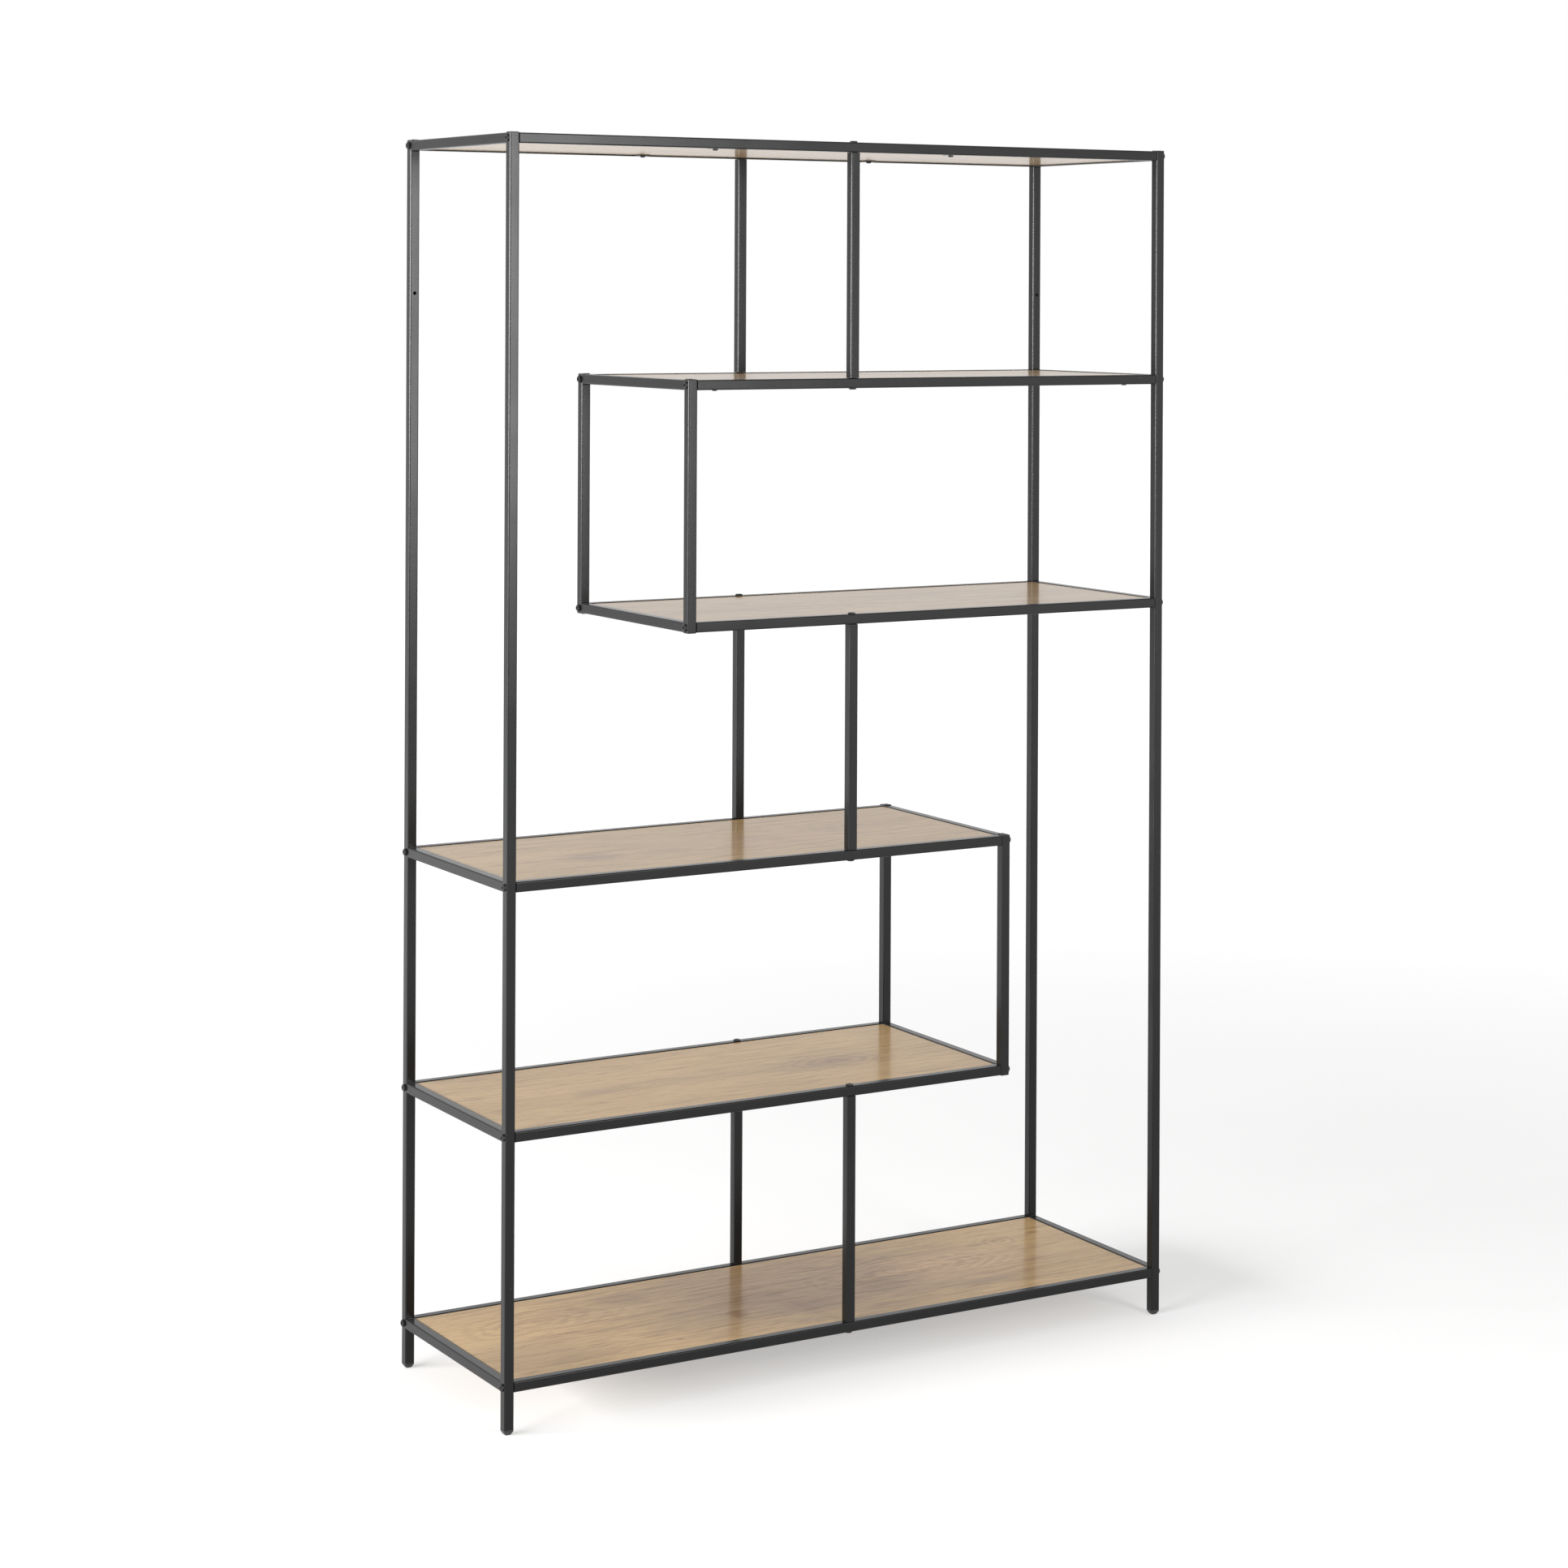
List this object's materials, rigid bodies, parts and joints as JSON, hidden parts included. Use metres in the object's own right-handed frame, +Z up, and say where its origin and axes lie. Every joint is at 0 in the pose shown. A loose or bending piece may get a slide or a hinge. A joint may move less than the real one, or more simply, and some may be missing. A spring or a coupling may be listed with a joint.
{
  "type": "open shelving unit",
  "caption": "Tall open shelving unit with a slim black square-tube frame, wood-look boards and staggered short shelves that leave a tall niche on either side.",
  "frame": {"origin": "on the floor, under the middle of the unit's width and depth", "axes": "+Z up, +X to the right seen from the front, front faces -Y"},
  "size_m": [1.1572, 0.36, 1.8521],
  "materials": {
    "frame_coating": "dark grey powder coating, satin, on steel tube and its fasteners",
    "oak_board": "light oak-look board, satin",
    "black_plastic": "matt black moulded plastic"
  },
  "bodies": {
    "root": {"bay_1_front_upright": "frame_coating", "bay_1_rear_upright": "frame_coating", "bay_3_front_upright": "frame_coating", "bay_3_rear_upright": "frame_coating", "bay_5_front_upright": "frame_coating", "bay_5_rear_upright": "frame_coating", "left_front_foot": "black_plastic", "left_front_post_cap": "black_plastic", "left_rear_foot": "black_plastic", "left_rear_post_cap": "black_plastic", "left_side_front_post": "frame_coating", "left_side_rear_post": "frame_coating", "left_side_rung_1": "frame_coating", "left_side_rung_2": "frame_coating", "left_side_rung_3": "frame_coating", "left_side_rung_6": "frame_coating", "lower_short_frame_bottom_rung": "frame_coating", "lower_short_frame_front_bottom_cap": "black_plastic", "lower_short_frame_front_post": "frame_coating", "lower_short_frame_front_top_cap": "black_plastic", "lower_short_frame_rear_bottom_cap": "black_plastic", "lower_short_frame_rear_post": "frame_coating", "lower_short_frame_rear_top_cap": "black_plastic", "lower_short_frame_top_rung": "frame_coating", "right_front_foot": "black_plastic", "right_front_post_cap": "black_plastic", "right_rear_foot": "black_plastic", "right_rear_post_cap": "black_plastic", "right_side_front_post": "frame_coating", "right_side_rear_post": "frame_coating", "right_side_rung_1": "frame_coating", "right_side_rung_4": "frame_coating", "right_side_rung_5": "frame_coating", "right_side_rung_6": "frame_coating", "shelf_1_board": "oak_board", "shelf_1_front_rail": "frame_coating", "shelf_1_rear_rail": "frame_coating", "shelf_2_board": "oak_board", "shelf_2_front_rail": "frame_coating", "shelf_2_rear_rail": "frame_coating", "shelf_3_board": "oak_board", "shelf_3_front_rail": "frame_coating", "shelf_3_rear_rail": "frame_coating", "shelf_4_board": "oak_board", "shelf_4_front_rail": "frame_coating", "shelf_4_rear_rail": "frame_coating", "shelf_5_board": "oak_board", "shelf_5_front_rail": "frame_coating", "shelf_5_rear_rail": "frame_coating", "shelf_6_board": "oak_board", "shelf_6_front_rail": "frame_coating", "shelf_6_rear_rail": "frame_coating", "upper_short_frame_bottom_rung": "frame_coating", "upper_short_frame_front_bottom_cap": "black_plastic", "upper_short_frame_front_post": "frame_coating", "upper_short_frame_front_top_cap": "black_plastic", "upper_short_frame_rear_bottom_cap": "black_plastic", "upper_short_frame_rear_post": "frame_coating", "upper_short_frame_rear_top_cap": "black_plastic", "upper_short_frame_top_rung": "frame_coating"}
  },
  "joints": []
}
